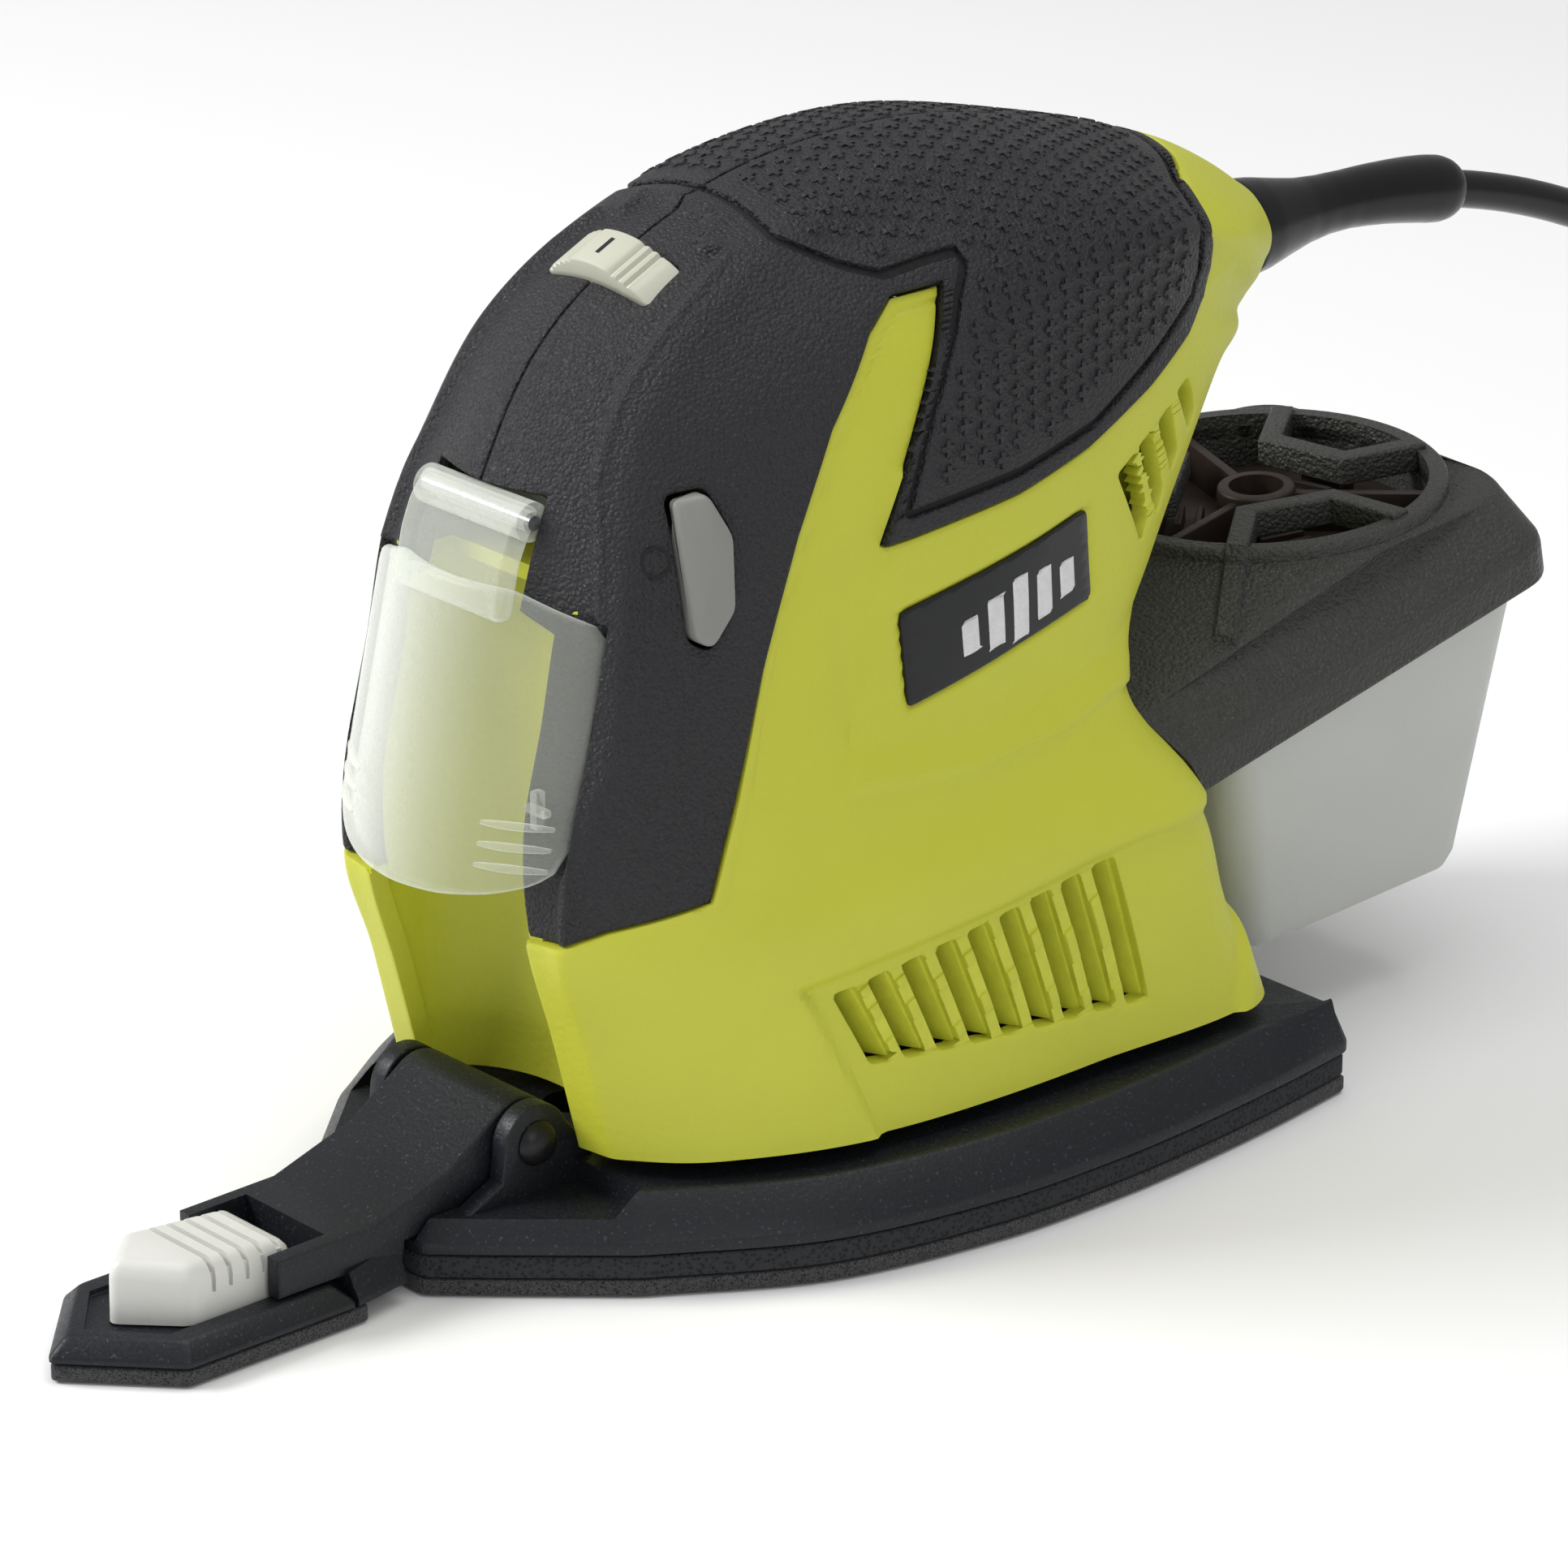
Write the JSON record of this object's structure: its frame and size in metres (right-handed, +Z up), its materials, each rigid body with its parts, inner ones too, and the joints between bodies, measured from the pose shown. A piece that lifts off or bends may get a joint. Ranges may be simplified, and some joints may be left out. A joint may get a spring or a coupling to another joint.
{
  "type": "palm sander with detail finger",
  "caption": "Corded palm sander with a boat-shaped hook-and-loop pad, fold-up detail finger, clear front flap, speed dial, push-through switch and rear dust box.",
  "frame": {"origin": "where the motor axis meets the underside of the sanding pad", "axes": "+Z up along the motor axis, -Y towards the nose of the pad, +Y towards the cable, +X to the tool's own left"},
  "size_m": [0.1122, 0.3138, 0.1516],
  "materials": {
    "lime": "fine grained moulding",
    "charcoal": "leather-grained soft overmould",
    "gloss_black": "gloss",
    "clear": "clear with a frosted back",
    "pale_grey": "satin",
    "mid_grey": "satin",
    "blue_black": "grained",
    "foam": "closed-cell foam",
    "hook_fabric": "hook side of a hook-and-loop sheet",
    "frosted": "translucent, frosted",
    "lid_black": "coarse satin grain",
    "brown_black": "satin",
    "filter_paper": "pleated paper",
    "rubber": "semi-gloss",
    "inner_plastic": "satin",
    "board": "solder mask",
    "steel": "ground",
    "screw_steel": "zinc plated",
    "lamination": "stacked sheet steel",
    "copper": "copper wire and bars",
    "brass": "pressed",
    "aluminium": "die cast"
  },
  "bodies": {
    "housing": {"housing_left": "lime", "housing_right": "lime", "overmould_left": "charcoal", "overmould_right": "charcoal", "badge_left": "gloss_black", "badge_right": "gloss_black", "flap_pin": "steel", "speed_control": "board", "switch_module": "inner_plastic", "stator_core": "lamination", "field_winding_front": "copper", "field_winding_back": "copper", "upper_bearing": "steel", "lower_bearing": "steel", "bearing_plate": "aluminium", "brush_holder_left": "brass", "brush_holder_right": "brass", "carbon_brush_left": "inner_plastic", "carbon_brush_right": "inner_plastic", "rubber_leg_1": "rubber", "rubber_leg_2": "rubber", "rubber_leg_3": "rubber", "rubber_leg_4": "rubber", "dust_duct": "inner_plastic", "cable_guard": "rubber", "power_cable": "rubber", "cord_clamp": "inner_plastic", "case_screw_1": "screw_steel", "case_screw_2": "screw_steel", "case_screw_3": "screw_steel", "case_screw_4": "screw_steel", "case_screw_5": "screw_steel", "case_screw_6": "screw_steel"},
    "rotor": {"motor_shaft": "steel", "armature_core": "lamination", "commutator": "copper", "cooling_fan": "inner_plastic", "eccentric_counterweight": "aluminium", "pad_screw": "screw_steel"},
    "pad": {"base_plate": "blue_black", "foam_pad": "foam", "hook_sheet": "hook_fabric", "orbit_bearing": "steel", "finger_pivot_pin": "rubber"},
    "finger": {"finger_arm": "blue_black", "finger_plate": "blue_black", "finger_hook_pad": "hook_fabric"},
    "finger_lock": {"lock_slider": "pale_grey"},
    "flap": {"storage_flap": "clear"},
    "dial": {"speed_dial": "pale_grey"},
    "switch": {"switch_bar": "mid_grey"},
    "dust_unit": {"dust_lid": "lid_black", "filter_frame": "brown_black", "filter_element": "filter_paper", "dust_box": "frosted"}
  },
  "joints": [
    {"name": "spindle_spin", "type": "hinge", "parent": "housing", "child": "rotor", "pos_m": [0, 0, 0.03], "axis": [0, 0, 1], "continuous": true},
    {"name": "pad_orbit", "type": "hinge", "parent": "rotor", "child": "pad", "pos_m": [0, 0.001, 0.018], "axis": [0, 0, 1], "continuous": true},
    {"name": "finger_fold", "type": "hinge", "parent": "pad", "child": "finger", "pos_m": [0, -0.0612, 0.0187], "axis": [-1, 0, 0], "range_deg": [0, 75]},
    {"name": "lock_slide", "type": "slide", "parent": "finger", "child": "finger_lock", "axis": [0, 1, 0], "range_m": [0, 0.004]},
    {"name": "flap_open", "type": "hinge", "parent": "housing", "child": "flap", "pos_m": [0, -0.057, 0.1105], "axis": [-1, 0, 0], "range_deg": [0, 100]},
    {"name": "dial_turn", "type": "hinge", "parent": "housing", "child": "dial", "pos_m": [0, -0.0275, 0.1295], "axis": [0, 0.907, 0.421], "range_deg": [0, 250]},
    {"name": "switch_press", "type": "slide", "parent": "housing", "child": "switch", "axis": [-1, 0, 0], "range_m": [0, 0.0035]},
    {"name": "dust_unit_slide", "type": "slide", "parent": "housing", "child": "dust_unit", "axis": [0, 1, 0], "range_m": [0, 0.09]}
  ],
  "couplings": [
    {"joint": "pad_orbit", "follows": "spindle_spin", "ratio": -1}
  ]
}
